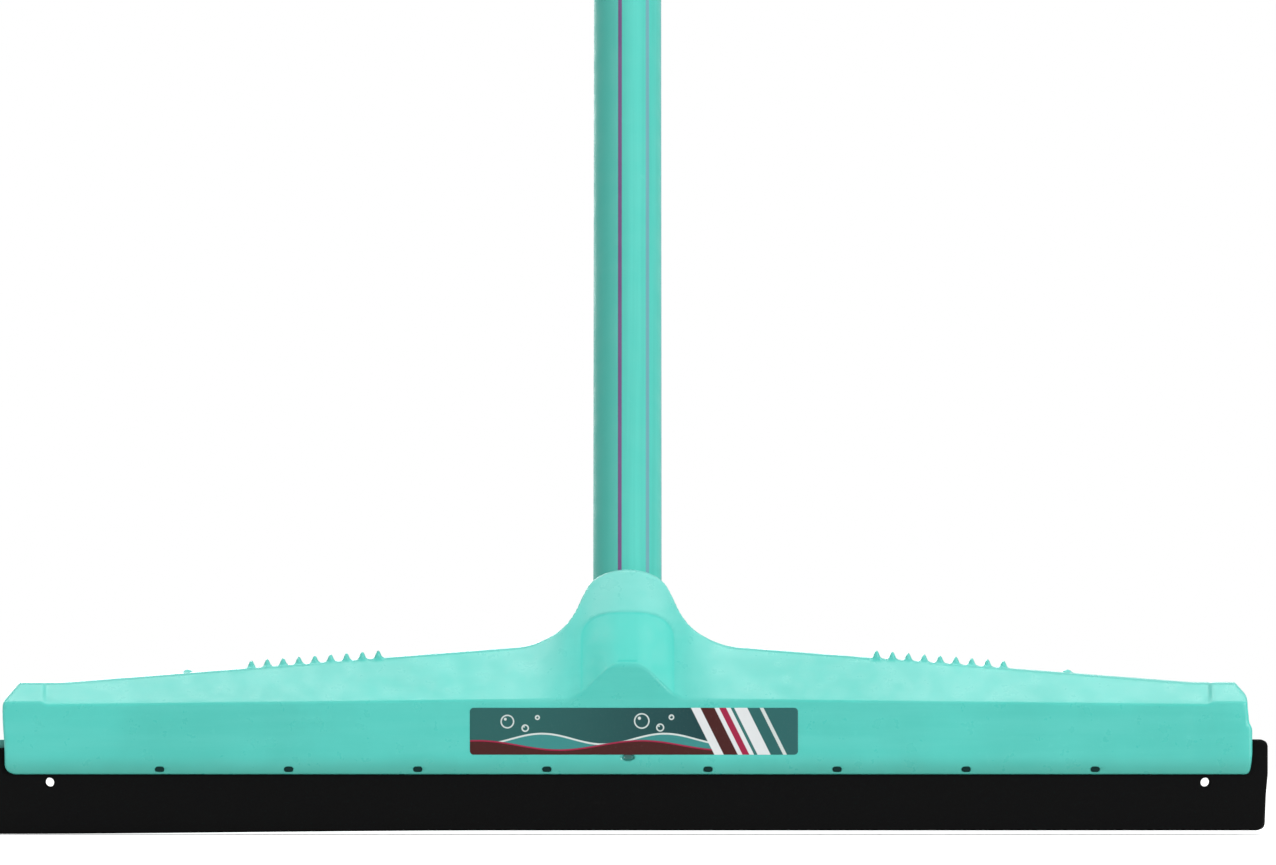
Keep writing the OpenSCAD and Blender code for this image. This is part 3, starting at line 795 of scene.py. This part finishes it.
for t in (0.2, 0.4, 0.6, 0.8, 1.0):
    profile.append((mix(INSERT_R, HANDLE_R, float(smooth(0, 1, t))), step_u + FILM_RISE * t))
profile += [(HANDLE_R, u) for u in np.linspace(RIM_U + 10, TOP_U - 10, 24)]
profile += [(HANDLE_R, TOP_U - 0.4), (HANDLE_R - 0.1, TOP_U - 0.1), (HANDLE_R - 0.35, TOP_U)]
profile += [(FILM_INNER, TOP_U)]
sleeve = turned("handle_film_sleeve", profile, angles, slots)
for material in (handle_film, stripe_dark, stripe_pale):
    sleeve.data.materials.append(material)
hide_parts("handle_sleeve")
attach(sleeve, "handle")

EASE = 0.1
profile = [(TUBE_BORE, HANDLE_U + EASE), (TUBE_BORE + EASE, HANDLE_U)]
profile += [(TUBE_R - EASE, HANDLE_U), (TUBE_R, HANDLE_U + EASE)]
profile += [(TUBE_R, TOP_U - EASE), (TUBE_R - EASE, TOP_U)]
profile += [(TUBE_BORE + EASE, TOP_U), (TUBE_BORE, TOP_U - EASE)]
tube = turned("handle_steel_tube", profile, np.arange(0, 360, 3.75))
tube.data.materials.append(tube_steel)
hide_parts("handle_tube")
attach(tube, "handle")


# Hanging cap, in its own axes along the handle, with u from the tube's upper end
def cap_field(x, d, u):
    """Distance from the cap's plug, shoulder and tab, less the hanging hole."""
    r = np.hypot(x, d)
    hole_u = SHOULDER_H + HOLE_RISE
    from_hole = np.hypot(x, u - hole_u)
    plug = smax(r - TUBE_BORE + PLUG_GAP, -PLUG_L - u, 0.8)
    shoulder = smax(smax(r - INSERT_R, u - SHOULDER_H, 4.6), -u, 0.3)
    tab = np.where(u > hole_u, from_hole, np.abs(x)) - TAB_R
    tab = smax(smax(tab, np.abs(d) - TAB_T / 2, 2.0), 1.0 - u, 0.5)
    body = smin(np.minimum(shoulder, smax(plug, u - 1.0, 0.2)), tab, 2.2)
    return smax(body, HOLE_R - from_hole, 1.4)


CAP_R, CAP_U, CAP_STEP = 11.5, 25.0, 0.55
across = np.arange(-CAP_R, CAP_R + 0.1, CAP_STEP)
along = graded(-CAP_U, CAP_U, 1.6, (-CAP_U, -22.6, CAP_STEP), (-2.0, CAP_U, CAP_STEP))
points, quads, normals = skin(cap_field, across, across, along)
cap = piece(
    "hanging_cap",
    on_axis(points[:, 0], points[:, 1], points[:, 2] + TOP_U),
    quads[:, ::-1],
    on_axis(*normals.T) - on_axis(0, 0, 0),
)
cap.data.materials.append(cap_plastic)
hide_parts("hang_cap")
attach(cap, "handle")


# Label: a thin sheet with round corners, pressed down along its edge
def label_loop(inset, lift):
    """Points round the label, inset from its edge and lifted off the wall."""
    reach_x, reach_z, r = LABEL_L / 2 - LABEL_CORNER, LABEL_W / 2 - LABEL_CORNER, LABEL_CORNER - inset
    loop = []
    for side_x, side_z, start in ((1, 1, 0), (-1, 1, 90), (-1, -1, 180), (1, -1, 270)):
        for t in np.radians(np.linspace(start, start + 90, 9)):
            x = LABEL_X + side_x * reach_x + r * math.cos(t)
            loop.append((x, -HALF_D - lift, LABEL_MID + side_z * reach_z + r * math.sin(t)))
    return loop


loops = [label_loop(*at) for at in ((0, -0.05), (0, 0.1), (0.06, 0.14), (0.3, 0.17), (0.9, 0.19))]
n, last = len(loops[0]), len(loops) - 1
faces = []
for i in range(last):
    for j in range(n):
        after = (j + 1) % n
        faces.append((i * n + j, i * n + after, (i + 1) * n + after, (i + 1) * n + j))
faces += [tuple(range(last * n, (last + 1) * n)), tuple(reversed(range(n)))]
label = piece("front_label", [p for loop in loops for p in loop], faces)
label.data.materials.append(label_paper)
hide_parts("label")
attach(label, "head")

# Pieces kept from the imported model
for node, material in (("blade_spacer", spacer_plastic), ("blade_pins", pin_steel)):
    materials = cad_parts[node].data.materials
    materials.clear()
    materials.append(material)

# Floor: pale, with the part's shadow, fading into the white surround away from it
FLOOR_REACH, FLOOR_Z = 3000.0, -1.4
FLOOR_GLOW, FADE_Y, FADE_FROM, FADE_TO = 0.42, 0.35, 0.85, 1.5
corners = [(x * FLOOR_REACH, y * FLOOR_REACH, FLOOR_Z) for x, y in ((-1, -1), (1, -1), (1, 1), (-1, 1))]
floor = piece("floor", corners, [(0, 1, 2, 3)])
s = Shader("floor_white")
white_paint = s.blend(s.noise(2.0, 3), (0.86, 0.86, 0.86), (0.90, 0.90, 0.90))
s.set(Base_Color=white_paint, Roughness=0.9, Specular_IOR_Level=0.1)
x, y, _ = s.axes()
away = s.length(x, s.math("ADD", y, -FADE_Y))
seen = s.seen()
glow, lit, clear, fade = s.add("Emission"), s.add("AddShader"), s.add("BsdfTransparent"), s.add("MixShader")
s.put(glow.inputs["Strength"], s.times(seen, FLOOR_GLOW))
s.put(lit.inputs[0], s.bsdf.outputs[0])
s.put(lit.inputs[1], glow.outputs[0])
s.put(fade.inputs[0], s.times(seen, s.between(away, FADE_FROM, FADE_TO)))
s.put(fade.inputs[1], lit.outputs[0])
s.put(fade.inputs[2], clear.outputs[0])
s.put(s.out.inputs[0], fade.outputs[0])
floor.data.materials.append(s.material)

# Light: soft boxes overhead, to the right, to the left and behind, given in metres and watts
for name, place, target, size, power in (
    ("overhead", (0.0, 0.10, 2.95), (0.0, 0.0, 0.05), (6.0, 0.9), 72),
    ("key", (1.75, -2.55, 0.8), (0.0, 0.05, 0.15), (1.3, 1.3), 46),
    ("fill", (-1.8, -2.5, 0.8), (0.0, 0.05, 0.15), (1.3, 1.3), 6),
    ("rear", (-0.6, 3.4, 1.1), (0.0, 0.3, 0.3), (1.6, 1.6), 44),
):
    lamp = bpy.data.lights.new(name, "AREA")
    lamp.shape = "RECTANGLE"
    lamp.size, lamp.size_y = size
    lamp.energy = power
    box = bpy.data.objects.new(name, lamp)
    box.location = place
    box.rotation_mode = "QUATERNION"
    box.rotation_quaternion = (Vector(target) - Vector(place)).to_track_quat("-Z", "Y")
    bpy.context.scene.collection.objects.link(box)

# Surround: plain white where it is seen, and a softer light on the part
PART_LIGHT, SEEN_LIGHT = 0.345, 1.0
world = bpy.data.worlds.new("surround")
bpy.context.scene.world = world
world.use_nodes = True
w = Nodes(world.node_tree)
choice = w.add("MixShader")
w.put(choice.inputs[0], w.seen())
for socket, strength in zip(choice.inputs[1:], (PART_LIGHT, SEEN_LIGHT)):
    background = w.add("Background")
    w.put(background.inputs["Color"], (1.0, 1.0, 1.0))
    w.put(background.inputs["Strength"], strength)
    w.put(socket, background.outputs[0])
w.put(w.add("OutputWorld").inputs[0], choice.outputs[0])

# Camera level with the middle of the picture, far off so that lines stay nearly parallel
DISTANCE, VIEW_W, SENSOR = 9.0, 0.4083, 36.0
VIEW_X, VIEW_Z = 0.0034, 0.1274
data = bpy.data.cameras.new("camera")
data.sensor_width = SENSOR
data.lens = SENSOR * DISTANCE / VIEW_W
data.clip_start, data.clip_end = 0.1, 200.0
camera = bpy.data.objects.new("camera", data)
camera.location = (VIEW_X, -HALF_D * MM - DISTANCE, VIEW_Z)
camera.rotation_euler = (math.pi / 2, 0, 0)
bpy.context.scene.collection.objects.link(camera)
bpy.context.scene.camera = camera
bpy.context.scene.view_settings.view_transform = "Standard"
